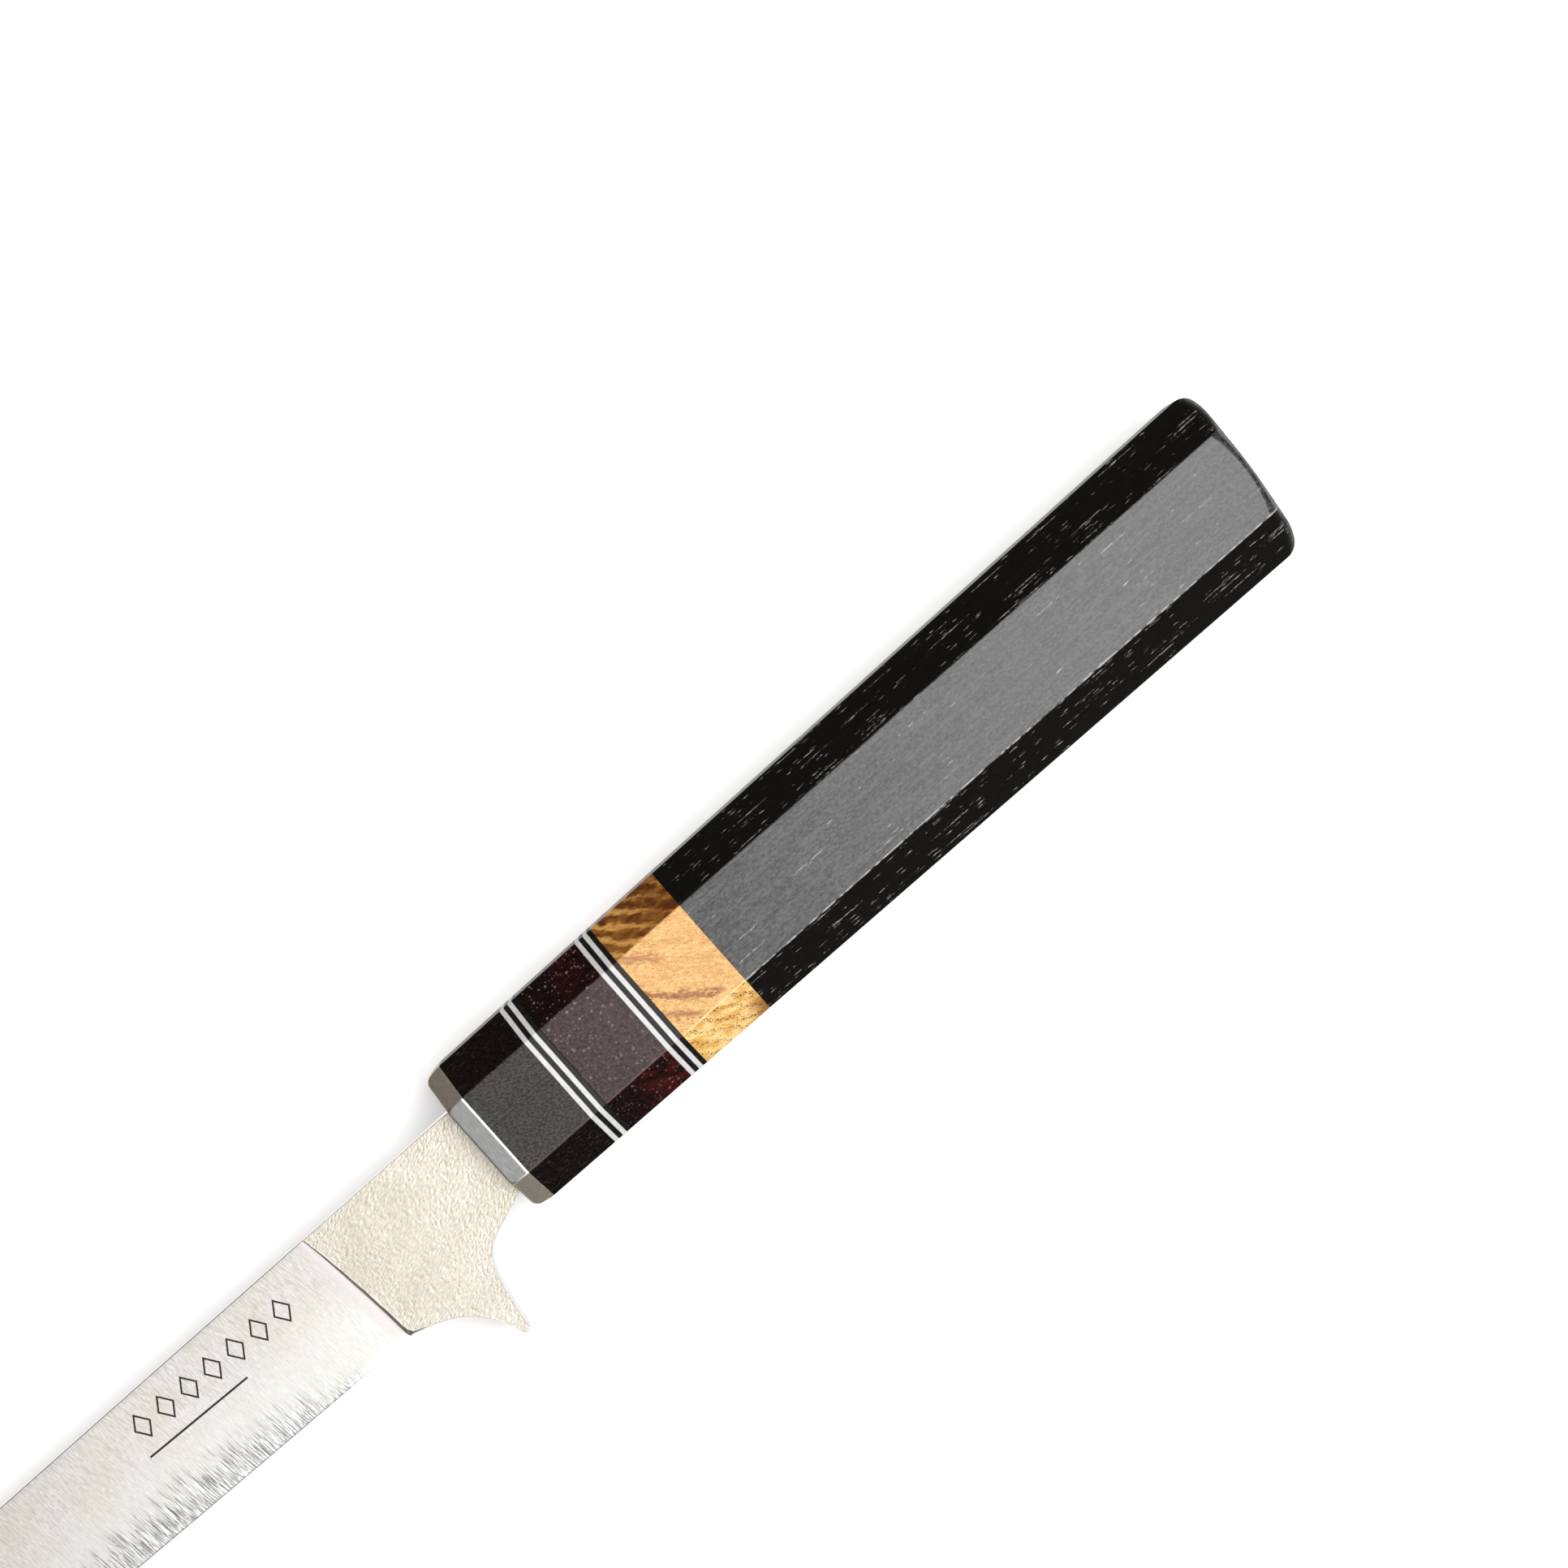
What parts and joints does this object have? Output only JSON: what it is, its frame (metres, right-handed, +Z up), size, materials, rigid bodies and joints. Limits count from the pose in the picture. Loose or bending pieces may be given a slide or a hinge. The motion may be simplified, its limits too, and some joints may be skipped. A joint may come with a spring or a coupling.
{
  "type": "boning knife",
  "caption": "Boning knife: slim forged blade, textured bolster that drops into a finger-guard spur, and an octagonal handle of inlaid woods behind a metal ferrule.",
  "frame": {"origin": "on the handle's lower broad flat, under the middle of the handle's length", "axes": "+X from the blade's tip towards the butt, +Y from the cutting edge towards the spine, +Z up, square to the flat that the knife lies on"},
  "size_m": [0.3021, 0.034, 0.0198],
  "materials": {
    "blade_steel": "satin",
    "ferrule_metal": "satin",
    "dark_wood": "satin",
    "burgundy_wood": "satin",
    "figured_wood": "satin",
    "black_wood": "satin",
    "white_fibre": "satin",
    "black_fibre": "satin",
    "dowel_wood": "matte",
    "epoxy": "gloss"
  },
  "bodies": {
    "root": {"blade": "blade_steel", "ferrule": "ferrule_metal", "front_block": "dark_wood", "front_white_spacer_1": "white_fibre", "front_black_spacer_1": "black_fibre", "front_white_spacer_2": "white_fibre", "front_black_spacer_2": "black_fibre", "middle_block": "burgundy_wood", "rear_white_spacer_1": "white_fibre", "rear_black_spacer_1": "black_fibre", "rear_white_spacer_2": "white_fibre", "rear_black_spacer_2": "black_fibre", "figured_block": "figured_wood", "handle_body": "black_wood", "core_dowel": "dowel_wood", "tang_epoxy": "epoxy"}
  },
  "joints": []
}
